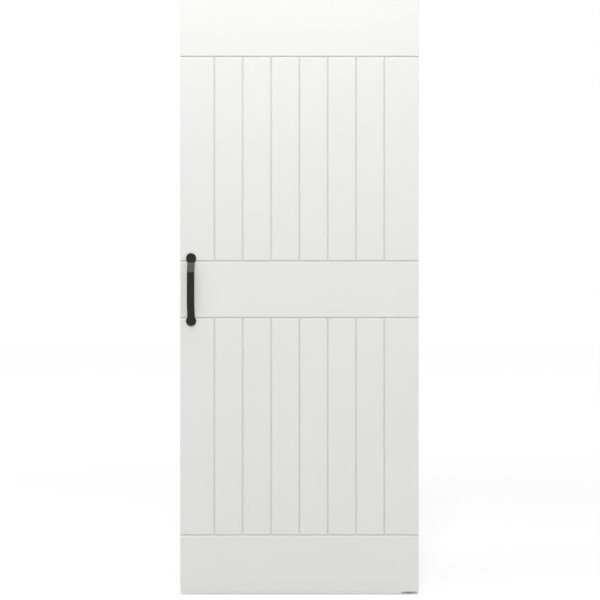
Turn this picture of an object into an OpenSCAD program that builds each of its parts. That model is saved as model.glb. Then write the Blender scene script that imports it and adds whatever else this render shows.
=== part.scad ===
// Sliding barn door: a grooved leaf with a pull handle, hung by two wheels from a flat wall track.
// X runs to the right along the wall as seen from the room, Y runs to the wall and Z is up.
// The origin is on the floor under the middle of the track, in the middle of the leaf's thickness.
// The leaf is drawn closed, at the left end of its travel.

/* [Leaf] */
// Width of the leaf
leaf_w = 820; // [720:10:1020]
// Height of the leaf
leaf_h = 2040; // [1960:10:2400]
// Thickness of each face board
face_t = 8; // [6:0.5:10]
// Thickness of the timber frame and core between the face boards
core_t = 24; // [20:1:32]
// Bevel along the outer edges of the face boards
leaf_bevel = 1; // [0.5:0.1:1.5]
// Gap between the leaf and the floor
floor_gap = 10; // [8:1:15]
// Gap between the leaf and the track
track_gap = 10; // [8:1:16]

/* [Grooves] */
// Width of the V grooves
groove_w = 8; // [5:0.5:10]
// Depth of the V grooves
groove_d = 4; // [2:0.5:5]
// Number of upright grooves in each field
groove_count = 7; // [5:1:7]
// Spacing of the upright grooves
board_w = 97.5; // [80:0.5:105]
// Height of the plain band at the bottom
bottom_band_h = 194; // [150:1:220]
// Height of the lower grooved field
lower_field_h = 748; // [600:1:850]
// Height of the plain band behind the handle
middle_band_h = 195; // [150:1:220]
// Height of the plain band at the top
top_band_h = 200; // [150:1:220]

/* [Frame and core] */
// Width of the two stiles
stile_w = 60; // [50:1:90]
// Height of the top and bottom rails
end_rail_h = 120; // [100:1:160]
// Height of the cross rail at the handle
cross_rail_h = 140; // [100:1:180]
// Diameter of the upright tubes in the core
tube_d = 16; // [10:1:18]
// Spacing of the tubes
tube_pitch = 25; // [22:1:40]

/* [Pull handle] */
// Distance from the leaf's left edge to the middle of the handle
handle_inset = 37.5; // [30:0.5:42]
// Spacing of the handle's two screws
handle_cc = 215; // [190:1:260]
// Diameter of the round feet
handle_foot_d = 35; // [30:1:45]
// Width of the bar
handle_bar_w = 25; // [18:1:28]
// Thickness of the bar and the feet
handle_bar_t = 6; // [4:0.5:8]
// Finger gap behind the grip
handle_gap = 26; // [18:1:40]
// Angle between the leaf and the handle's sloping legs
handle_leg_angle = 40; // [35:1:60]
// Inner radius of the bends in the bar
handle_bend_r = 5; // [3:0.5:8]
// Distance from the middle of each foot to the first bend
handle_bend_start = 13.5; // [11:0.5:20]
// Bevel around the handle's feet
handle_bevel = 1; // [0.5:0.1:1.5]

/* [Track] */
// Height of the flat track
track_h = 40; // [35:1:50]
// Thickness of the flat track
track_t = 6; // [5:0.5:8]
// Number of bolts that hold the track
track_bolt_count = 5; // [4:1:7]
// Distance from each outer bolt to the end of the track
track_end = 100; // [40:1:150]
// Distance from each end stop to the next bolt outside it
stop_to_bolt = 40.5; // [25:0.5:80]

/* [Wall fixings] */
// Length of the spacers between the track and the wall
spacer_l = 32; // [28:1:50]
// Outer diameter of the spacers
spacer_d = 20; // [16:1:24]
// Diameter of the bolts' plain shanks
wall_bolt_d = 8; // [8:0.5:10]
// Diameter of the bolts' threads in the wall
wall_thread_d = 7.6; // [7:0.1:7.8]
// Depth of the bolts in the wall
wall_bolt_reach = 60; // [50:1:90]
// Width of the bolts' hexagon heads across the flats
wall_head_w = 13; // [12:0.5:17]
// Height of the bolts' heads
wall_head_h = 5.3; // [4:0.1:7]
// Diameter of the washers under the heads
wall_washer_d = 16; // [15:0.5:20]
// Thickness of the washers
wall_washer_t = 1.6; // [1:0.1:2.5]

/* [Hangers] */
// Distance from the leaf's side edge to the middle of the nearer hanger
hanger_inset = 110; // [90:1:160]
// Width of the hanger's arm
arm_w = 50; // [44:1:56]
// Thickness of the hanger's plate
plate_t = 5; // [4:0.5:6]
// Inner radius of the hanger's fold
plate_bend_r = 3; // [2:0.5:4]
// Length of the hanger's foot
foot_l = 120; // [110:1:140]
// Distance that the foot reaches behind the middle of the leaf
foot_reach = 17; // [12:0.5:18]
// Radius of the foot's corners
foot_corner_r = 6; // [3:0.5:10]
// Distance from the foot's ends to the outer screws
foot_screw_edge = 10; // [8:0.5:12]
// Spacing of the two screws at each end of the foot
foot_screw_pitch = 15; // [12:0.5:16]

/* [Wheels] */
// Diameter of the wheel at the bottom of its groove
tread_d = 62; // [54:1:80]
// Depth of the wheel's groove
flange_h = 6.5; // [5:0.5:8]
// Extra width of the groove's mouth on each side
groove_flare = 1; // [0.5:0.1:2]
// Width of the wheel
wheel_w = 22; // [18:0.5:26]
// Thickness of the rim inside the tread
rim_wall = 4.5; // [3:0.5:6]
// Diameter of the hub
hub_d = 40; // [38:0.5:44]
// Width of the hub
hub_w = 18; // [14:0.5:22]
// Thickness of the web between the hub and the rim
web_t = 10; // [6:0.5:14]
// Slope of the hub's and the rim's inner sides, as a sideways shift
wheel_draft = 1; // [0.5:0.1:1.5]
// Bevel along the wheel's rims
rim_bevel = 1; // [0.5:0.1:2]

/* [Bearings and axles] */
// Outer diameter of the bearing
bearing_d = 30; // [28:0.5:34]
// Width of the bearing
bearing_w = 9; // [8:0.5:12]
// Thickness of the bearing's rings
ring_wall = 3; // [2.5:0.1:3.5]
// Depth of the ball race in each ring
race_d = 1; // [0.5:0.1:1.2]
// Thickness of the bearing's seals
seal_t = 0.8; // [0.5:0.1:1]
// Depth of the seals below the bearing's faces
seal_inset = 0.3; // [0.2:0.1:0.5]
// Height of the shoulder that the bearing seats on
shoulder_h = 2; // [1:0.5:2.5]
// Diameter of the axle bolts
axle_d = 10; // [8:0.5:12]
// Width of the axle bolt's head and nut across the flats
axle_head_w = 17; // [15:0.5:19]
// Height of the axle bolt's head
axle_head_h = 6.4; // [5:0.1:8]
// Height of the axle nut
axle_nut_h = 8; // [6:0.5:10]
// Length of the axle bolt past the nut
axle_tail = 3; // [1:0.5:5]
// Wall of the sleeve between the hanger and the bearing
sleeve_wall = 2.5; // [1.5:0.1:3]
// Thickness of the washer under the axle nut
axle_washer_t = 3; // [2:0.5:4]

/* [End stops] */
// Length of the clamp block
stop_l = 40; // [35:1:50]
// Height of the block above the track
stop_cap = 8; // [5:0.5:10]
// Depth of the block's front leg below the middle of the track
stop_drop = 12; // [8:0.5:16]
// Thickness of the block's back leg
stop_back_wall = 5; // [4:0.5:7]
// Bevel along the block's edges
stop_bevel = 1.5; // [0.5:0.5:2]
// Diameter of the rubber bumper
bumper_d = 12; // [8:0.5:14]
// Diameter of the bumper's stem
bumper_stem_d = 6; // [4:0.5:7]
// Length of the bumper's stem
bumper_stem_l = 8; // [5:0.5:10]
// Rim of the block round the bumper
bumper_rim = 1; // [0.5:0.5:3]
// Diameter of the set screws
set_screw_d = 6; // [5:0.5:8]
// Spacing of the set screws
set_screw_cc = 16; // [14:0.5:20]
// Width of the hexagon sockets in the set screws
set_socket_w = 3; // [2:0.5:4]
// Depth of the hexagon sockets
set_socket_d = 3; // [2:0.5:5]

/* [Floor guide] */
// Length of the leaf that stays over the guide at each end of the travel
guide_overlap = 60; // [56:1:100]
// Length of the guide's base along the leaf
guide_l = 56; // [50:1:60]
// Width of the guide's base
guide_w = 40; // [38:1:50]
// Thickness of the guide's base under the heads of its screws
guide_web_t = 0.5; // [0.5:0.1:2]
// Radius of the base's corners
guide_corner_r = 6; // [3:0.5:10]
// Length of the fin
fin_l = 26; // [20:1:50]
// Thickness of the fin
fin_t = 6; // [5:0.5:8]
// Height of the fin inside the leaf
fin_reach = 16; // [12:0.5:20]
// Spacing of the guide's screws
guide_screw_cc = 26; // [24:0.5:28]

/* [Anti-jump discs] */
// Diameter of the discs
disc_d = 32; // [26:1:36]
// Distance from each hanger to the disc inside it
disc_setin = 110; // [90:1:140]

/* [Wood screws] */
// Diameter of the plain shank
screw_d = 5; // [4.5:0.1:5.5]
// Diameter of the thread
screw_thread_d = 4.4; // [4:0.1:4.6]
// Diameter of the head
screw_head_d = 10; // [9:0.1:10.5]
// Width of the cross slots in the head
screw_slot_w = 1.2; // [0.8:0.1:1.5]
// Length of the cross slots
screw_slot_l = 5; // [3:0.5:6]
// Depth of the cross slots
screw_slot_d = 1.5; // [1:0.1:2]
// Length of the handle's screws
handle_screw_l = 35; // [25:1:36]
// Length of the hangers' screws
hanger_screw_l = 50; // [40:1:70]
// Length of the discs' screws
disc_screw_l = 40; // [30:1:60]
// Length of the floor guide's screws
guide_screw_l = 30; // [20:1:40]

/* [Clearances] */
// Gap round screws, bolts, stems and bearings in their holes
fit_gap = 0.05; // [0.02:0.01:0.1]
// Gap round the wall bolts in the track and the spacers
bolt_gap = 0.5; // [0.3:0.1:1]
// Gap between the wheel's tread and the track
tread_gap = 0.3; // [0.2:0.1:0.5]
// Gap between the track and each side of the wheel's groove
wheel_gap = 0.6; // [0.4:0.1:1]
// Gap between the wheel and the hanger's arm
arm_gap = 2.5; // [2:0.5:5]
// Gap between the wall bolts' heads and the passing arms
head_gap = 3; // [2:0.5:5]
// Gap between a bumper and the hanger's arm at the end of the travel
touch_gap = 0.5; // [0.3:0.1:0.8]
// Gap between the wheel's rim and the stop block at the end of the travel
rim_gap = 2; // [1:0.5:5]
// Gap between the clamp block and the track
clamp_gap = 0.2; // [0.1:0.1:0.3]
// Gap between the floor guide's fin and each side of the leaf's groove
fin_gap = 0.7; // [0.5:0.1:0.9]
// Gap between the fin's top and the bottom of the leaf's groove
fin_top_gap = 2; // [1:0.5:4]
// Gap between the anti-jump discs and the track
disc_gap = 2; // [1:0.5:4]
// Gap round the balls in their races
ball_gap = 0.15; // [0.1:0.05:0.2]
// Gap between the bearing's seals and its inner ring
seal_gap = 0.3; // [0.2:0.1:0.4]

/* [Hidden] */
$fn = 64;
// How far a cutter runs past the surface that it opens
cut_over = 1;
// Diameter at the tips of screws and bolts
tip_d = 1;
// Width of a hexagon head's flat top as a share of its width across the flats
hex_top_share = 0.95;
// Slope of the turned corners of a hexagon head
hex_corner_angle = 30;

// Screws
screw_head_h = (screw_head_d - screw_d) / 2;
guide_base_t = screw_head_h + guide_web_t;

// Leaf
leaf_t = core_t + 2 * face_t;
travel = leaf_w - guide_overlap;
leaf_x = -travel / 2;
leaf_top = floor_gap + leaf_h;
middle_band_z = bottom_band_h + lower_field_h;
band_lines = [
    bottom_band_h,
    middle_band_z,
    middle_band_z + middle_band_h,
    leaf_h - top_band_h
];
fields = [[band_lines[0], band_lines[1]], [band_lines[2], band_lines[3]]];
groove_xs = [for (i = [0 : groove_count - 1]) (i - (groove_count - 1) / 2) * board_w];
cross_rail_z = middle_band_z + (middle_band_h - cross_rail_h) / 2;
guide_slot_w = fin_t + 2 * fin_gap;
guide_slot_d = fin_reach + fin_top_gap;

// Pull handle
handle_x = leaf_x - leaf_w / 2 + handle_inset;
handle_y = -leaf_t / 2;
handle_z = floor_gap + middle_band_z + middle_band_h / 2;
handle_bends = handle_bar_t + 2 * handle_bend_r;
handle_leg_l = (handle_gap - handle_bends * (1 - cos(handle_leg_angle))) / sin(handle_leg_angle);
handle_leg_reach = handle_bends * sin(handle_leg_angle) + handle_leg_l * cos(handle_leg_angle);
handle_grip_start = handle_bend_start + handle_leg_reach;
handle_bend_steps = 12;

// Track and wheels
track_bottom = leaf_top + track_gap;
track_mid = track_bottom + track_h / 2;
track_top = track_bottom + track_h;
tread_r = tread_d / 2;
rim_r = tread_r + flange_h;
axle_z = track_top + tread_gap + tread_r;
groove_half_w = track_t / 2 + wheel_gap;

// Hangers
hanger_x = leaf_w / 2 - hanger_inset;
wall_head_y = track_t / 2 + wall_washer_t + wall_head_h;
arm_back = max(wheel_w / 2 + arm_gap, wall_head_y + head_gap);
arm_front = arm_back + plate_t;
fold_y = plate_bend_r - arm_back;
fold_z = leaf_top + plate_t + plate_bend_r;
foot_screw_x = foot_l / 2 - foot_screw_edge;
foot_screw_xs = [foot_screw_x, foot_screw_x - foot_screw_pitch];
disc_x = hanger_x - disc_setin;
disc_t = track_gap - disc_gap;

// Bearings and axles
axle_bore_d = axle_d + 2 * fit_gap;
inner_ring_r = axle_bore_d / 2 + ring_wall;
outer_ring_r = bearing_d / 2 - ring_wall;
ball_pitch_r = (inner_ring_r + outer_ring_r) / 2;
race_r = (outer_ring_r - inner_ring_r) / 2 + race_d;
ball_r = race_r - ball_gap;
ball_spread = 1.25;
ball_count = floor(PI * ball_pitch_r / (ball_r * ball_spread));
sleeve_d = axle_bore_d + 2 * sleeve_wall;
axle_washer_d = 2 * inner_ring_r;
axle_l = arm_front + bearing_w / 2 + axle_washer_t + axle_nut_h + axle_tail;

// End stops and track length
bumper_l = rim_r + rim_gap - arm_w / 2 - touch_gap;
bumper_y = arm_back + plate_t / 2;
bumper_web = 2;
bumper_z = track_mid + set_screw_d / 2 + bumper_web + bumper_stem_d / 2;
stop_x = travel / 2 + hanger_x + arm_w / 2 + touch_gap + bumper_l;
stop_front = bumper_y + bumper_d / 2 + bumper_rim;
clamp_half_w = track_t / 2 + clamp_gap;
stop_back = clamp_half_w + stop_back_wall;
stop_inner_top = track_top + clamp_gap;
stop_top = stop_inner_top + stop_cap;
outer_bolt_x = stop_x + stop_l + stop_to_bolt;
track_l = 2 * (outer_bolt_x + track_end);
track_bolt_pitch = 2 * outer_bolt_x / (track_bolt_count - 1);
track_bolt_xs = [for (i = [0 : track_bolt_count - 1]) i * track_bolt_pitch - outer_bolt_x];

// Colours
paint = "whitesmoke";
timber = "burlywood";
chipboard = "tan";
black_steel = "#2b2b2b";
bare_steel = "silver";
nylon = "#303236";
pale_nylon = "white";
rubber = "#1c1c1c";

sides = ["left", "right"];
hanger_pieces = [
    "hanger", "axle_bolt", "axle_sleeve", "axle_washer", "axle_nut", "wheel",
    "bearing_outer_ring", "bearing_inner_ring", "bearing_balls", "bearing_seals",
    "anti_jump_disc", "stop_block", "stop_bumper"
];

// Places

// The middle of the leaf's bottom edge
module at_leaf() {
    translate([leaf_x, 0, floor_gap]) children();
}

// The heads of the handle's screws, with Z out of the leaf
module at_handle_screws() {
    for (end = [-1, 1])
        translate([handle_x, handle_y - handle_bar_t, handle_z + end * handle_cc / 2])
            rotate([90, 0, 0]) children();
}

// One hanger's middle, at floor level
module at_hanger(side) {
    translate([leaf_x + side * hanger_x, 0, 0]) children();
}

// One hanger's axle, with Z to the wall
module at_axle(side) {
    at_hanger(side) translate([0, 0, axle_z]) rotate([-90, 0, 0]) children();
}

// The heads of both hangers' screws
module at_hanger_screws() {
    for (side = [-1, 1], x = foot_screw_xs, end = [-1, 1])
        at_hanger(side) translate([end * x, 0, leaf_top + plate_t]) children();
}

// One anti-jump disc's top
module at_disc(side) {
    translate([leaf_x + side * disc_x, 0, leaf_top + disc_t]) children();
}

// Each track bolt where it meets the track's front, with Z to the wall
module at_track_bolts() {
    for (x = track_bolt_xs)
        translate([x, -track_t / 2, track_mid]) rotate([-90, 0, 0]) children();
}

// One end stop, with X pointing away from the leaf
module at_stop(side) {
    mirror([side < 0 ? 1 : 0, 0, 0]) translate([stop_x, 0, 0]) children();
}

// The set screws of one end stop at the block's front, with Z to the wall
module at_set_screws() {
    for (end = [-1, 1])
        translate([stop_l / 2 + end * set_screw_cc / 2, -stop_front, track_mid])
            rotate([-90, 0, 0]) children();
}

// The heads of the floor guide's screws
module at_guide_screws() {
    for (end = [-1, 1])
        translate([0, end * guide_screw_cc / 2, guide_base_t]) children();
}

// Shapes that repeat

// V cutter along Z that opens the surface at Y 0 and cuts towards +Y
module v_cutter(length) {
    mouth = groove_w / 2 * (groove_d + cut_over) / groove_d;
    linear_extrude(length, center = true)
        polygon([[-mouth, -cut_over], [mouth, -cut_over], [0, groove_d]]);
}

// Cutter along Z that bevels the edge that it lies on
module bevel_cutter(length, bevel) {
    linear_extrude(length, center = true)
        rotate(45) square(bevel * sqrt(2), center = true);
}

// Rectangle from its low to its high corner, with round corners
module rounded_rectangle(low, high, r) {
    size = high - low;
    translate(low + [r, 0]) square([size.x - 2 * r, size.y]);
    translate(low + [0, r]) square([size.x, size.y - 2 * r]);
    for (x = [low.x + r, high.x - r], y = [low.y + r, high.y - r])
        translate([x, y]) circle(r);
}

// Ring round Z that stands on Z 0
module ring(outer_d, inner_d, h) {
    difference() {
        cylinder(h = h, d = outer_d);
        translate([0, 0, -cut_over]) cylinder(h = h + 2 * cut_over, d = inner_d);
    }
}

// Hexagon that stands on Z 0, with its top corners turned off
module hexagon(across, h) {
    top_r = across * hex_top_share / 2;
    intersection() {
        cylinder(h = h, d = across / cos(30), $fn = 6);
        cylinder(h = h, r1 = top_r + h / tan(hex_corner_angle), r2 = top_r);
    }
}

// Countersunk wood screw below Z 0, with a plain shank as deep as the grip and a thread below it
module wood_screw(length, grip) {
    difference() {
        union() {
            translate([0, 0, -screw_head_h])
                cylinder(h = screw_head_h, d1 = screw_d, d2 = screw_head_d);
            translate([0, 0, -grip]) cylinder(h = grip - screw_head_h, d = screw_d);
            translate([0, 0, screw_thread_d - length])
                cylinder(h = length - grip - screw_thread_d, d = screw_thread_d);
            translate([0, 0, -length]) cylinder(h = screw_thread_d, d1 = tip_d, d2 = screw_thread_d);
        }
        for (turn = [0, 90])
            rotate(turn) cube([screw_slot_l, screw_slot_w, 2 * screw_slot_d], center = true);
    }
}

// Hole for a wood screw of the same length and grip
module screw_hole(length, grip) {
    head_d = screw_head_d + 2 * fit_gap;
    shank_d = screw_d + 2 * fit_gap;
    cylinder(h = cut_over, d = head_d);
    translate([0, 0, -screw_head_h]) cylinder(h = screw_head_h, d1 = shank_d, d2 = head_d);
    translate([0, 0, -grip]) cylinder(h = grip, d = shank_d);
    translate([0, 0, -length]) cylinder(h = length, d = screw_thread_d + 2 * fit_gap);
}

// Upright slab inside the leaf, from its low corner in the leaf's width and height
module core_slab(x, z, w, h) {
    at_leaf() translate([x, -core_t / 2, z]) cube([w, core_t, h]);
}

// Leaf

// Grooved board with its outer surface to the front
module face_board() {
    at_leaf() translate([0, -leaf_t / 2, 0]) difference() {
        translate([-leaf_w / 2, 0, 0]) cube([leaf_w, face_t, leaf_h]);
        for (z = band_lines)
            translate([0, 0, z]) rotate([0, 90, 0]) v_cutter(leaf_w + 2 * cut_over);
        for (field = fields, x = groove_xs)
            translate([x, 0, (field[0] + field[1]) / 2]) v_cutter(field[1] - field[0]);
        for (end = [-1, 1]) {
            translate([end * leaf_w / 2, 0, leaf_h / 2])
                bevel_cutter(leaf_h + 2 * cut_over, leaf_bevel);
            translate([0, 0, leaf_h / 2 + end * leaf_h / 2])
                rotate([0, 90, 0]) bevel_cutter(leaf_w + 2 * cut_over, leaf_bevel);
        }
    }
}

module front_face_board() {
    color(paint) difference() {
        face_board();
        at_handle_screws() screw_hole(handle_screw_l, handle_bar_t);
    }
}

module back_face_board() {
    color(paint) mirror([0, 1, 0]) face_board();
}

module left_stile() {
    color(timber) difference() {
        core_slab(-leaf_w / 2, end_rail_h, stile_w, leaf_h - 2 * end_rail_h);
        at_handle_screws() screw_hole(handle_screw_l, handle_bar_t);
    }
}

module right_stile() {
    color(timber) core_slab(leaf_w / 2 - stile_w, end_rail_h, stile_w, leaf_h - 2 * end_rail_h);
}

module top_rail() {
    color(timber) difference() {
        core_slab(-leaf_w / 2, leaf_h - end_rail_h, leaf_w, end_rail_h);
        at_hanger_screws() screw_hole(hanger_screw_l, plate_t);
        for (side = [-1, 1])
            at_disc(side) screw_hole(disc_screw_l, disc_t);
    }
}

module cross_rail() {
    color(timber) core_slab(stile_w - leaf_w / 2, cross_rail_z, leaf_w - 2 * stile_w, cross_rail_h);
}

// Rail with the groove that runs over the floor guide's fin
module bottom_rail() {
    color(timber) difference() {
        core_slab(-leaf_w / 2, 0, leaf_w, end_rail_h);
        at_leaf() translate([-leaf_w / 2 - cut_over, -guide_slot_w / 2, -cut_over])
            cube([leaf_w + 2 * cut_over, guide_slot_w, guide_slot_d + cut_over]);
    }
}

// Chipboard slab with upright tubes, between two heights in the leaf
module tube_core(z_low, z_high) {
    core_w = leaf_w - 2 * stile_w;
    tube_count = floor(core_w / tube_pitch);
    color(chipboard) difference() {
        core_slab(-core_w / 2, z_low, core_w, z_high - z_low);
        at_leaf() for (i = [0 : tube_count - 1])
            translate([(i - (tube_count - 1) / 2) * tube_pitch, 0, z_low - cut_over])
                cylinder(h = z_high - z_low + 2 * cut_over, d = tube_d);
    }
}

module upper_core() {
    tube_core(cross_rail_z + cross_rail_h, leaf_h - end_rail_h);
}

module lower_core() {
    tube_core(end_rail_h, cross_rail_z);
}

// Pull handle

// Inner and outer curves of the bar's lower bends, as points along X with the leaf's face on the plane Y 0
function foot_bend(radius) = [
    for (i = [0 : handle_bend_steps])
        let (turn = handle_leg_angle * i / handle_bend_steps)
        [handle_bend_start + radius * sin(turn), handle_bar_t + handle_bend_r - radius * cos(turn)]
];

function grip_bend(radius) = [
    for (i = [0 : handle_bend_steps])
        let (turn = handle_leg_angle * (1 - i / handle_bend_steps))
        [handle_grip_start - radius * sin(turn), handle_gap - handle_bend_r + radius * cos(turn)]
];

function other_end(points) = [for (p = points) [handle_cc - p[0], p[1]]];

function reversed(points) = [for (i = [len(points) - 1 : -1 : 0]) points[i]];

// Side view of the bent bar, from one screw to the other
module bar_outline() {
    outer_bend_r = handle_bend_r + handle_bar_t;
    front = concat([[0, handle_bar_t]], foot_bend(handle_bend_r), grip_bend(outer_bend_r));
    back = concat([[0, 0]], foot_bend(outer_bend_r), grip_bend(handle_bend_r));
    polygon(concat(front, reversed(other_end(front)), other_end(back), reversed(back)));
}

// Round foot on the plane Z 0
module handle_foot() {
    r = handle_foot_d / 2;
    cylinder(h = handle_bar_t - handle_bevel, r = r);
    translate([0, 0, handle_bar_t - handle_bevel])
        cylinder(h = handle_bevel, r1 = r, r2 = r - handle_bevel);
}

module pull_handle() {
    color(black_steel) difference() {
        translate([handle_x, handle_y, handle_z]) {
            translate([0, 0, -handle_cc / 2]) rotate([0, -90, 180])
                translate([0, 0, -handle_bar_w / 2]) linear_extrude(handle_bar_w) bar_outline();
            for (end = [-1, 1])
                translate([0, 0, end * handle_cc / 2]) rotate([90, 0, 0]) handle_foot();
        }
        at_handle_screws() screw_hole(handle_screw_l, handle_bar_t);
    }
}

module handle_screws() {
    color(black_steel) at_handle_screws() wood_screw(handle_screw_l, handle_bar_t);
}

// Hangers

module hanger(side) {
    color(black_steel) difference() {
        at_hanger(side) {
            translate([0, -arm_back, 0]) rotate([90, 0, 0]) linear_extrude(plate_t) {
                translate([0, axle_z]) circle(d = arm_w);
                translate([-arm_w / 2, fold_z]) square([arm_w, axle_z - fold_z]);
            }
            translate([-arm_w / 2, fold_y, fold_z]) rotate([-90, 0, -90]) rotate_extrude(angle = 90)
                translate([plate_bend_r, 0]) square([plate_t, arm_w]);
            translate([0, 0, leaf_top]) linear_extrude(plate_t)
                rounded_rectangle([-foot_l / 2, fold_y], [foot_l / 2, foot_reach], foot_corner_r);
        }
        at_axle(side) translate([0, 0, -arm_front - cut_over])
            cylinder(h = plate_t + 2 * cut_over, d = axle_bore_d);
        at_hanger_screws() screw_hole(hanger_screw_l, plate_t);
    }
}

module hanger_screws() {
    color(black_steel) at_hanger_screws() wood_screw(hanger_screw_l, plate_t);
}

module anti_jump_disc(side) {
    color(black_steel) difference() {
        at_disc(side) translate([0, 0, -disc_t]) cylinder(h = disc_t, d = disc_d);
        at_disc(side) screw_hole(disc_screw_l, disc_t);
    }
}

module anti_jump_screws() {
    color(black_steel) for (side = [-1, 1])
        at_disc(side) wood_screw(disc_screw_l, disc_t);
}

// Wheels, bearings and axles

// Half of the wheel's section from the shoulder out to the tread, as distances from the axis and the middle
wheel_half = [
    [bearing_d / 2 - shoulder_h, hub_w / 2],
    [hub_d / 2, hub_w / 2],
    [hub_d / 2 + wheel_draft, web_t / 2],
    [tread_r - rim_wall - wheel_draft, web_t / 2],
    [tread_r - rim_wall, wheel_w / 2],
    [rim_r - rim_bevel, wheel_w / 2],
    [rim_r, wheel_w / 2 - rim_bevel],
    [rim_r, groove_half_w + groove_flare],
    [tread_r, groove_half_w]
];
wheel_other_half = [for (i = [len(wheel_half) - 1 : -1 : 0]) [wheel_half[i].x, -wheel_half[i].y]];

module wheel(side) {
    color(nylon) at_axle(side) difference() {
        rotate_extrude() polygon(concat(wheel_half, wheel_other_half));
        translate([0, 0, -wheel_w])
            cylinder(h = wheel_w + bearing_w / 2, d = bearing_d + 2 * fit_gap);
    }
}

// Bearing ring between two radii, with the ball race cut into it
module race_ring(inner_r, outer_r) {
    rotate_extrude() difference() {
        translate([inner_r, -bearing_w / 2]) square([outer_r - inner_r, bearing_w]);
        translate([ball_pitch_r, 0]) circle(race_r);
    }
}

module bearing_outer_ring(side) {
    color(bare_steel) at_axle(side) race_ring(outer_ring_r, bearing_d / 2);
}

module bearing_inner_ring(side) {
    color(bare_steel) at_axle(side) race_ring(axle_bore_d / 2, inner_ring_r);
}

module bearing_balls(side) {
    color(bare_steel) at_axle(side) for (i = [0 : ball_count - 1])
        rotate(i * 360 / ball_count) translate([ball_pitch_r, 0, 0]) sphere(ball_r);
}

module bearing_seals(side) {
    color(rubber) at_axle(side) for (end = [0, 1])
        mirror([0, 0, end]) translate([0, 0, bearing_w / 2 - seal_inset - seal_t])
            ring(2 * (outer_ring_r - fit_gap), 2 * (inner_ring_r + seal_gap), seal_t);
}

module axle_bolt(side) {
    color(black_steel) at_axle(side) translate([0, 0, -arm_front]) {
        mirror([0, 0, 1]) hexagon(axle_head_w, axle_head_h);
        cylinder(h = axle_l, d = axle_d);
    }
}

module axle_sleeve(side) {
    color(bare_steel) at_axle(side) translate([0, 0, -arm_back])
        ring(sleeve_d, axle_bore_d, arm_back - bearing_w / 2);
}

module axle_washer(side) {
    color(bare_steel) at_axle(side) translate([0, 0, bearing_w / 2])
        ring(axle_washer_d, axle_bore_d, axle_washer_t);
}

module axle_nut(side) {
    color(bare_steel) at_axle(side) translate([0, 0, bearing_w / 2 + axle_washer_t]) difference() {
        hexagon(axle_head_w, axle_nut_h);
        translate([0, 0, -cut_over]) cylinder(h = axle_nut_h + 2 * cut_over, d = axle_bore_d);
    }
}

// Track and its fixings

module track() {
    color(black_steel) difference() {
        translate([-track_l / 2, -track_t / 2, track_bottom]) cube([track_l, track_t, track_h]);
        at_track_bolts() translate([0, 0, -cut_over])
            cylinder(h = track_t + 2 * cut_over, d = wall_bolt_d + 2 * bolt_gap);
    }
}

module track_spacer(i) {
    color(black_steel) translate([track_bolt_xs[i - 1], track_t / 2, track_mid]) rotate([-90, 0, 0])
        ring(spacer_d, wall_bolt_d + 2 * bolt_gap, spacer_l);
}

// Coach bolts with a plain shank up to the wall and a thread inside it
module wall_bolts() {
    shank_l = wall_washer_t + track_t + spacer_l;
    tip_l = wall_thread_d / 2;
    color(black_steel) at_track_bolts() translate([0, 0, -wall_washer_t]) {
        mirror([0, 0, 1]) hexagon(wall_head_w, wall_head_h);
        cylinder(h = shank_l, d = wall_bolt_d);
        translate([0, 0, shank_l]) cylinder(h = wall_bolt_reach - tip_l, d = wall_thread_d);
        translate([0, 0, shank_l + wall_bolt_reach - tip_l])
            cylinder(h = tip_l, d1 = wall_thread_d, d2 = tip_d);
    }
}

module wall_washers() {
    color(black_steel) at_track_bolts() translate([0, 0, -wall_washer_t])
        ring(wall_washer_d, wall_bolt_d + 2 * fit_gap, wall_washer_t);
}

// End stops

// Clamp block that sits over the track, with its front leg as deep as the bumper needs
module stop_block(side) {
    front = -stop_front;
    front_low = track_mid - stop_drop;
    section = [
        [front + stop_bevel, front_low],
        [-clamp_half_w, front_low],
        [-clamp_half_w, stop_inner_top],
        [clamp_half_w, stop_inner_top],
        [clamp_half_w, track_mid],
        [stop_back, track_mid],
        [stop_back, stop_top - stop_bevel],
        [stop_back - stop_bevel, stop_top],
        [front + stop_bevel, stop_top],
        [front, stop_top - stop_bevel],
        [front, front_low + stop_bevel]
    ];
    color(black_steel) at_stop(side) difference() {
        rotate([90, 0, 90]) linear_extrude(stop_l) polygon(section);
        at_set_screws() translate([0, 0, -cut_over])
            cylinder(h = stop_front - track_t / 2 + cut_over, d = set_screw_d + 2 * fit_gap);
        translate([-cut_over, -bumper_y, bumper_z]) rotate([0, 90, 0])
            cylinder(h = bumper_stem_l + cut_over, d = bumper_stem_d + 2 * fit_gap);
    }
}

// Domed rubber bumper with a stem in the block
module stop_bumper(side) {
    r = bumper_d / 2;
    dome = bumper_l / 3;
    color(rubber) at_stop(side) translate([0, -bumper_y, bumper_z]) rotate([0, 90, 0]) {
        translate([0, 0, dome - bumper_l]) cylinder(h = bumper_l - dome, r = r);
        translate([0, 0, -bumper_l]) cylinder(h = dome, r1 = r - dome / 2, r2 = r);
        cylinder(h = bumper_stem_l, d = bumper_stem_d);
    }
}

module stop_screws() {
    set_screw_l = stop_front - track_t / 2;
    color(bare_steel) for (side = [-1, 1])
        at_stop(side) at_set_screws() difference() {
            cylinder(h = set_screw_l, d = set_screw_d);
            translate([0, 0, -cut_over])
                cylinder(h = set_socket_d + cut_over, d = set_socket_w / cos(30), $fn = 6);
        }
}

// Floor guide

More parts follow.
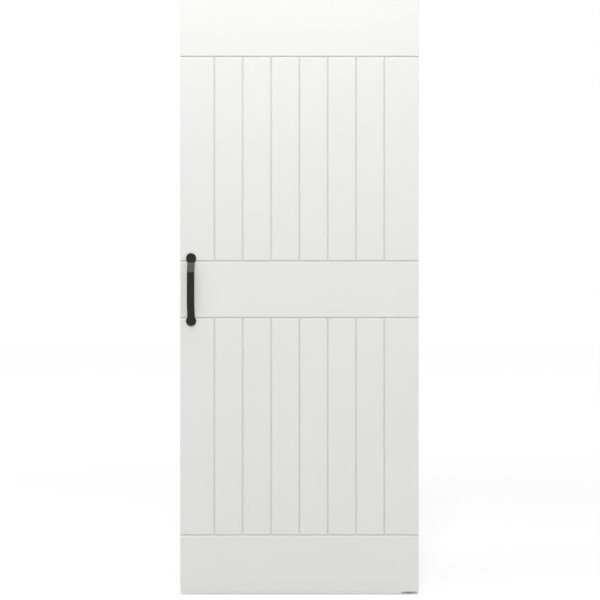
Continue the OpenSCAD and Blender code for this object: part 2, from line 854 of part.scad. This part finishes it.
// Moulded base with an upright fin that has round ends
module floor_guide() {
    fin_h = floor_gap + fin_reach;
    straight_l = fin_l - fin_t;
    half = [guide_l, guide_w] / 2;
    color(pale_nylon) difference() {
        union() {
            linear_extrude(guide_base_t) rounded_rectangle(-half, half, guide_corner_r);
            translate([-straight_l / 2, -fin_t / 2, 0]) cube([straight_l, fin_t, fin_h]);
            for (end = [-1, 1])
                translate([end * straight_l / 2, 0, 0]) cylinder(h = fin_h, d = fin_t);
        }
        at_guide_screws() screw_hole(guide_screw_l, guide_base_t);
    }
}

module floor_guide_screws() {
    color(bare_steel) at_guide_screws() wood_screw(guide_screw_l, guide_base_t);
}

// Assembly

front_face_board();
back_face_board();
left_stile();
right_stile();
top_rail();
cross_rail();
bottom_rail();
upper_core();
lower_core();
pull_handle();
handle_screws();
hanger_screws();
anti_jump_screws();
track();
wall_bolts();
wall_washers();
stop_screws();
floor_guide();
floor_guide_screws();
for (i = [1 : track_bolt_count])
    track_spacer(i);
for (i = [0, 1]) {
    name = str(sides[i], "_");
    side = 2 * i - 1;
    hanger(side);
    axle_bolt(side);
    axle_sleeve(side);
    axle_washer(side);
    axle_nut(side);
    wheel(side);
    bearing_outer_ring(side);
    bearing_inner_ring(side);
    bearing_balls(side);
    bearing_seals(side);
    anti_jump_disc(side);
    stop_block(side);
    stop_bumper(side);
}
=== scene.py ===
"""A white grooved sliding door with a black pull handle, on its wall track, in a plain pale studio."""
import math

import bmesh
import bpy
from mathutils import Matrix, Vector


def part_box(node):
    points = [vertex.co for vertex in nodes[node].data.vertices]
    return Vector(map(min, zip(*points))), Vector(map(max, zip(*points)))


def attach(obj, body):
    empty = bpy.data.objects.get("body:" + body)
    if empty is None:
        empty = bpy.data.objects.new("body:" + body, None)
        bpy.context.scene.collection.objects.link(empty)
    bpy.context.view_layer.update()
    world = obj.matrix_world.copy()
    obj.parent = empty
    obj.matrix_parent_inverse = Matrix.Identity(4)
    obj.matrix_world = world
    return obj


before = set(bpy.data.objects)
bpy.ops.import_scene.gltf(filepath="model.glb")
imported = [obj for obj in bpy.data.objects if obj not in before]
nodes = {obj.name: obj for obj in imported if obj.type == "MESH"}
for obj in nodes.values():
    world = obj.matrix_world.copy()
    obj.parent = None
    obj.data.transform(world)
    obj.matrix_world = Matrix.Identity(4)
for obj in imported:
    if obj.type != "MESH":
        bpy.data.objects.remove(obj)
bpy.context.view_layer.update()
scene = bpy.context.scene

SIDES = ("left", "right")
X_AXIS, Z_AXIS = 0, 2
MM = 0.001


# Shader nodes that several materials use

def node_tree(name):
    """A new material's nodes, with its shader."""
    mat = bpy.data.materials.new(name)
    mat.use_nodes = True
    tree = mat.node_tree
    return mat, tree, tree.nodes["Principled BSDF"]


def object_point(tree, scale=(1, 1, 1)):
    """The place on the piece in metres, stretched along the axes."""
    coord = tree.nodes.new("ShaderNodeTexCoord")
    mapping = tree.nodes.new("ShaderNodeMapping")
    mapping.inputs["Scale"].default_value = scale
    tree.links.new(coord.outputs["Object"], mapping.inputs["Vector"])
    return mapping.outputs["Vector"]


def noise(tree, point, cells, detail=3.0, rough=0.5):
    """Values of a cloudy noise with about that many cells to a metre."""
    tex = tree.nodes.new("ShaderNodeTexNoise")
    tex.inputs["Scale"].default_value = cells
    tex.inputs["Detail"].default_value = detail
    tex.inputs["Roughness"].default_value = rough
    tree.links.new(point, tex.inputs["Vector"])
    return tex.outputs["Fac"]


def spread(tree, value, low, high, start=0.3, end=0.7):
    """A value from start to end becomes one from low to high."""
    ramp = tree.nodes.new("ShaderNodeMapRange")
    for socket, number in (("From Min", start), ("From Max", end), ("To Min", low), ("To Max", high)):
        ramp.inputs[socket].default_value = number
    tree.links.new(value, ramp.inputs["Value"])
    return ramp.outputs["Result"]


def mixed(tree, factor, a, b):
    """A colour between a and b, each a colour or a socket."""
    mix = tree.nodes.new("ShaderNodeMix")
    mix.data_type = "RGBA"
    sockets = {s.identifier: s for s in mix.inputs}
    tree.links.new(factor, sockets["Factor_Float"])
    for key, colour in (("A_Color", a), ("B_Color", b)):
        if isinstance(colour, tuple):
            sockets[key].default_value = (*colour, 1.0)
        else:
            tree.links.new(colour, sockets[key])
    return {s.identifier: s for s in mix.outputs}["Result_Color"]


def tinted(tree, shader, factor, dark, light):
    """Colours the shader between two tones."""
    tone = spread(tree, factor, 0.0, 1.0)
    tree.links.new(mixed(tree, tone, dark, light), shader.inputs["Base Color"])


def roughened(tree, shader, value, low, high):
    """Spreads the shader's roughness between two levels."""
    tree.links.new(spread(tree, value, low, high), shader.inputs["Roughness"])


def bumped(tree, shader, heights):
    """Relief from several heights, each a value, its size in metres and its strength."""
    normal = None
    for value, distance, strength in heights:
        bump = tree.nodes.new("ShaderNodeBump")
        bump.inputs["Distance"].default_value = distance
        bump.inputs["Strength"].default_value = strength
        tree.links.new(value, bump.inputs["Height"])
        if normal is not None:
            tree.links.new(normal, bump.inputs["Normal"])
        normal = bump.outputs["Normal"]
    tree.links.new(normal, shader.inputs["Normal"])


# Materials

PAINT_TONES = ((0.845, 0.847, 0.832), (0.862, 0.863, 0.849))
# Painted shade in the grooves: the darkest tone it paints, and how far the occlusion looks
GROOVE_PAINTED_SHADE = (0.69, 0.69, 0.675)
GROOVE_SHADE_REACH = 8 * MM
GRAIN_STRETCH = 0.03


def painted_groove_shade(tree):
    """1 on open faces of a piece, less down in its grooves: the mask for the shade painted into the
    grooves' colour.
    """
    shade = tree.nodes.new("ShaderNodeAmbientOcclusion")
    shade.inputs["Distance"].default_value = GROOVE_SHADE_REACH
    shade.samples = 8
    shade.only_local = True
    return spread(tree, shade.outputs["AO"], 0.0, 1.0, 0.45, 0.95)


def white_paint(name, grain_axis=None):
    """Satin paint from a roller, over smooth board or over timber whose grain runs along an axis, with
    shade painted into its grooves.
    """
    mat, tree, shader = node_tree(name)
    point = object_point(tree)
    broad = spread(tree, noise(tree, point, 2.5), 0.0, 1.0)
    stipple = noise(tree, point, 420.0, 2.0)
    coat = mixed(tree, broad, *PAINT_TONES)
    # Painted shade: the coat turns towards the darker groove tone where the piece's own faces close in
    tree.links.new(mixed(tree, painted_groove_shade(tree), GROOVE_PAINTED_SHADE, coat), shader.inputs["Base Color"])
    roughened(tree, shader, noise(tree, point, 35.0), 0.40, 0.50)
    shader.inputs["Specular IOR Level"].default_value = 0.4
    heights = [(stipple, 0.12 * MM, 0.25), (noise(tree, point, 90.0, 1.0), 0.2 * MM, 0.15)]
    if grain_axis is not None:
        stretch = [1.0, 1.0, 1.0]
        stretch[grain_axis] = GRAIN_STRETCH
        grain = noise(tree, object_point(tree, stretch), 700.0, 4.0, 0.6)
        heights.append((grain, 0.2 * MM, 0.3))
    bumped(tree, shader, heights)
    return mat


def powder_coat(name):
    """Fine-grained matt black coat on steel."""
    mat, tree, shader = node_tree(name)
    point = object_point(tree)
    tinted(tree, shader, noise(tree, point, 60.0), (0.0062, 0.0062, 0.0064), (0.0092, 0.0092, 0.0094))
    roughened(tree, shader, noise(tree, point, 140.0), 0.28, 0.36)
    shader.inputs["Specular IOR Level"].default_value = 0.28
    bumped(tree, shader, [(noise(tree, point, 1400.0, 2.0), 0.08 * MM, 0.12),
                          (noise(tree, point, 450.0, 1.0), 0.12 * MM, 0.08)])
    return mat


def zinc(name):
    """Bright zinc plate with the faint streaks of turned steel."""
    mat, tree, shader = node_tree(name)
    point = object_point(tree)
    tinted(tree, shader, noise(tree, point, 220.0, 4.0), (0.56, 0.565, 0.57), (0.70, 0.70, 0.695))
    roughened(tree, shader, noise(tree, point, 500.0, 4.0), 0.24, 0.40)
    shader.inputs["Metallic"].default_value = 1.0
    streaks = noise(tree, object_point(tree, (1.0, 12.0, 1.0)), 300.0, 3.0)
    bumped(tree, shader, [(streaks, 0.1 * MM, 0.12)])
    return mat


def moulded(name, dark, light, rough, grain):
    """Moulded plastic or rubber with a fine matt grain."""
    mat, tree, shader = node_tree(name)
    point = object_point(tree)
    tinted(tree, shader, noise(tree, point, 45.0), dark, light)
    roughened(tree, shader, noise(tree, point, 180.0), rough - 0.05, rough + 0.07)
    shader.inputs["Specular IOR Level"].default_value = 0.4
    bumped(tree, shader, [(noise(tree, point, 1600.0, 2.0), 0.1 * MM, grain)])
    return mat


def chipboard(name):
    """Pressed wood chips, each of one tone."""
    mat, tree, shader = node_tree(name)
    point = object_point(tree, (1.0, 1.0, 0.45))
    chips = tree.nodes.new("ShaderNodeTexVoronoi")
    chips.inputs["Scale"].default_value = 320.0
    tree.links.new(point, chips.inputs["Vector"])
    tinted(tree, shader, noise(tree, chips.outputs["Position"], 900.0, 1.0),
           (0.33, 0.21, 0.10), (0.60, 0.44, 0.26))
    roughened(tree, shader, noise(tree, point, 200.0), 0.75, 0.9)
    bumped(tree, shader, [(chips.outputs["Distance"], 0.4 * MM, 0.4)])
    return mat


def dress(material, *names):
    """Gives these CAD nodes one material."""
    for name in names:
        data = nodes[name].data
        data.materials.clear()
        data.materials.append(material)


def both(*pieces):
    """The left and the right node of each piece."""
    return [f"{side}_{piece}" for side in SIDES for piece in pieces]


SPACERS = [f"track_spacer_{i}" for i in range(1, 6)]
black = powder_coat("black_powder_coat")
plated = zinc("zinc_plate")
dress(white_paint("white_satin_paint"), "front_face_board", "back_face_board")
dress(white_paint("white_paint_upright_grain", Z_AXIS), "left_stile", "right_stile")
dress(white_paint("white_paint_level_grain", X_AXIS), "top_rail", "cross_rail", "bottom_rail")
dress(chipboard("pressed_chips"), "upper_core", "lower_core")
dress(black, "pull_handle", "handle_screws", "hanger_screws", "anti_jump_screws", "track", "wall_bolts",
      "wall_washers", *SPACERS, *both("hanger", "axle_bolt", "anti_jump_disc", "stop_block"))
dress(plated, "stop_screws", "floor_guide_screws",
      *both("axle_sleeve", "axle_washer", "axle_nut", "bearing_outer_ring", "bearing_inner_ring",
            "bearing_balls"))
dress(moulded("black_nylon", (0.016, 0.016, 0.018), (0.024, 0.024, 0.026), 0.42, 0.15), *both("wheel"))
dress(moulded("white_nylon", (0.80, 0.80, 0.78), (0.85, 0.85, 0.83), 0.40, 0.10), "floor_guide")
dress(moulded("black_rubber", (0.011, 0.011, 0.011), (0.017, 0.017, 0.017), 0.72, 0.30),
      *both("stop_bumper", "bearing_seals"))

# Small rounds in mm on the sharp edges of the steel, where light catches
EDGE_ROUNDS = {"pull_handle": 0.8, "left_hanger": 0.6, "right_hanger": 0.6, "track": 0.6}
SHARP_EDGE = math.radians(35)
for name, width in EDGE_ROUNDS.items():
    round_edges = nodes[name].modifiers.new("edge_round", "BEVEL")
    round_edges.width = width * MM
    round_edges.segments = 2
    round_edges.limit_method = "ANGLE"
    round_edges.angle_limit = SHARP_EDGE
    round_edges.harden_normals = False


# Threads on the bolts and screws that show, whose shanks are plain in the CAD model.
# Each size is the shank's radius, the thread's length, its pitch and its height in mm.

WALL_BOLT_THREAD = (3.8, 48, 3.2, 0.8)
GUIDE_SCREW_THREAD = (2.2, 20, 1.9, 0.5)
AXLE_THREAD = (5, 2.2, 1.1, 0.35)
THREAD_STEPS = 24        # to a turn
RIDGE_HALF = 0.36        # half of the ridge's foot, as a share of the pitch
CREST_SHARE = 0.15       # the crest's width, as a share of the foot's
SUNK_SHARE = 0.2         # how far the foot goes into the shank, as a share of the height


def thread(bm, start, axis, size):
    """A helical ridge round a shank, from start along axis, that runs out at both ends."""
    radius, length, pitch, height = (value * MM for value in size)
    ahead = Vector(axis)
    side = ahead.orthogonal().normalized()
    up = ahead.cross(side)
    half = RIDGE_HALF * pitch
    crest_half = CREST_SHARE * half
    root = radius - SUNK_SHARE * height
    count = int(length / pitch * THREAD_STEPS)
    run_out = THREAD_STEPS / 2
    rows = []
    for i in range(count + 1):
        turn = 2 * math.pi * i / THREAD_STEPS
        out = math.cos(turn) * side + math.sin(turn) * up
        crest = radius + height * min(1.0, i / run_out, (count - i) / run_out)
        middle = Vector(start) + ahead * (length * i / count)
        section = ((root, -half), (crest, -crest_half), (crest, crest_half), (root, half))
        rows.append([bm.verts.new(middle + out * r + ahead * shift) for r, shift in section])
    for a, b in zip(rows, rows[1:]):
        for j in range(len(a)):
            k = (j + 1) % len(a)
            bm.faces.new((a[j], a[k], b[k], b[j]))
    bm.faces.new(rows[0])
    bm.faces.new(reversed(rows[-1]))


def thread_piece(name, body, material, starts, axis, size):
    """One object with the same thread at several places."""
    bm = bmesh.new()
    for start in starts:
        thread(bm, start, axis, size)
    bmesh.ops.recalc_face_normals(bm, faces=bm.faces)
    mesh = bpy.data.meshes.new(name)
    bm.to_mesh(mesh)
    bm.free()
    mesh.materials.append(material)
    piece = bpy.data.objects.new(name, mesh)
    scene.collection.objects.link(piece)
    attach(piece, body)


def centre(name):
    """The middle of a node's box."""
    low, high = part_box(name)
    return (low + high) / 2


INTO_WALL = 6 * MM
UNDER_FLOOR = 2 * MM
GUIDE_SCREW_Y = 13 * MM
PAST_NUT = 0.4 * MM
wall_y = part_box(SPACERS[0])[1].y
track_z = centre("track").z
thread_piece("wall_bolt_threads", "frame", black,
             [(centre(spacer).x, wall_y + INTO_WALL, track_z) for spacer in SPACERS], (0, 1, 0),
             WALL_BOLT_THREAD)
thread_piece("guide_screw_threads", "frame", plated,
             [(0, y, -UNDER_FLOOR) for y in (-GUIDE_SCREW_Y, GUIDE_SCREW_Y)], (0, 0, -1),
             GUIDE_SCREW_THREAD)
for side in SIDES:
    axle = centre(f"{side}_axle_nut")
    nut_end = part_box(f"{side}_axle_nut")[1].y
    thread_piece(f"{side}_axle_thread", "leaf", black,
                 [(axle.x, nut_end + PAST_NUT, axle.z)], (0, 1, 0), AXLE_THREAD)


# Studio

def seen_rays(tree):
    """1 for rays from the camera and for those that gloss or glass sends on, 0 for the rest."""
    path = tree.nodes.new("ShaderNodeLightPath")
    total = path.outputs["Is Camera Ray"]
    for kind in ("Is Glossy Ray", "Is Transmission Ray"):
        either = tree.nodes.new("ShaderNodeMath")
        either.operation = "MAXIMUM"
        tree.links.new(total, either.inputs[0])
        tree.links.new(path.outputs[kind], either.inputs[1])
        total = either.outputs["Value"]
    return total


def white_light(tree, kind, strength):
    """A white emission or background, with a strength that is a number or a socket."""
    light = tree.nodes.new(kind)
    light.inputs["Color"].default_value = (1, 1, 1, 1)
    if isinstance(strength, float):
        light.inputs["Strength"].default_value = strength
    else:
        tree.links.new(strength, light.inputs["Strength"])
    return light.outputs[0]


def by_sight(tree, unseen, seen):
    """One shader for the rays that only carry light, and another for those that are seen."""
    pick = tree.nodes.new("ShaderNodeMixShader")
    tree.links.new(seen_rays(tree), pick.inputs["Fac"])
    tree.links.new(unseen, pick.inputs[1])
    tree.links.new(seen, pick.inputs[2])
    return pick.outputs["Shader"]


# The floor keeps the shadow, and a faint glow that grows away from the door lets it fade into the white
FLOOR_HALF = 30.0
FLOOR_TONE = (0.6, 0.6, 0.6, 1)
GLOW_LEVELS = (0.40, 0.58)
GLOW_REACH = (1.0, 7.0)
floor_mesh = bpy.data.meshes.new("floor")
floor_mesh.from_pydata([(-FLOOR_HALF, -FLOOR_HALF, 0), (FLOOR_HALF, -FLOOR_HALF, 0),
                        (FLOOR_HALF, FLOOR_HALF, 0), (-FLOOR_HALF, FLOOR_HALF, 0)], [], [(0, 1, 2, 3)])
floor = bpy.data.objects.new("floor", floor_mesh)
scene.collection.objects.link(floor)

floor_mat = bpy.data.materials.new("pale_floor")
floor_mat.use_nodes = True
tree = floor_mat.node_tree
tree.nodes.clear()
out = tree.nodes.new("ShaderNodeOutputMaterial")
diffuse = tree.nodes.new("ShaderNodeBsdfDiffuse")
diffuse.inputs["Color"].default_value = FLOOR_TONE
apart = tree.nodes.new("ShaderNodeVectorMath")
apart.operation = "LENGTH"
tree.links.new(object_point(tree), apart.inputs[0])
glow_level = spread(tree, apart.outputs["Value"], *GLOW_LEVELS, *GLOW_REACH)
glow = white_light(tree, "ShaderNodeEmission", glow_level)
no_glow = white_light(tree, "ShaderNodeEmission", 0.0)
add = tree.nodes.new("ShaderNodeAddShader")
tree.links.new(diffuse.outputs["BSDF"], add.inputs[0])
tree.links.new(by_sight(tree, no_glow, glow), add.inputs[1])
tree.links.new(add.outputs["Shader"], out.inputs["Surface"])
floor_mesh.materials.append(floor_mat)

# The world looks white, and fills with less light from the front than from behind the door
FILL_LEVELS = (0.44, 0.9)
FILL_TURN = (-0.25, 0.25)
world = bpy.data.worlds.new("studio")
scene.world = world
world.use_nodes = True
tree = world.node_tree
tree.nodes.clear()
out = tree.nodes.new("ShaderNodeOutputWorld")
coord = tree.nodes.new("ShaderNodeTexCoord")
facing = tree.nodes.new("ShaderNodeSeparateXYZ")
tree.links.new(coord.outputs["Generated"], facing.inputs["Vector"])
fill_level = spread(tree, facing.outputs["Y"], *FILL_LEVELS, *FILL_TURN)
fill = white_light(tree, "ShaderNodeBackground", fill_level)
white = white_light(tree, "ShaderNodeBackground", 1.0)
tree.links.new(by_sight(tree, fill, white), out.inputs["Surface"])


def softbox(name, place, target, size, watts):
    """A large soft lamp that looks at a point."""
    data = bpy.data.lights.new(name, "AREA")
    data.shape = "RECTANGLE"
    data.size, data.size_y = size
    data.energy = watts
    lamp = bpy.data.objects.new(name, data)
    lamp.location = place
    lamp.rotation_euler = (Vector(target) - Vector(place)).to_track_quat("-Z", "Y").to_euler()
    lamp.visible_camera = False
    scene.collection.objects.link(lamp)


# The strip shades the leaf from top to foot, and the high key keeps the handle's shadow behind its bar
softbox("strip_above", place=(-0.6, -0.62, 3.7), target=(-0.6, -0.2, 1.2), size=(2.4, 0.6), watts=32.5)
softbox("key_front", place=(-0.6, -9.5, 8.8), target=(-0.4, 0.0, 1.0), size=(2.0, 2.0), watts=545.0)

# Camera, level and square to the leaf, 5.5 m from its face, as in the photograph
camera_data = bpy.data.cameras.new("camera")
camera_data.lens = 95.94
camera_data.sensor_width = 36.0
camera_data.clip_end = 100.0
camera = bpy.data.objects.new("camera", camera_data)
camera.location = (-0.378, -5.52, 1.0135)
camera.rotation_euler = (math.radians(90), 0, 0)
scene.collection.objects.link(camera)
scene.camera = camera

scene.view_settings.view_transform = "Standard"
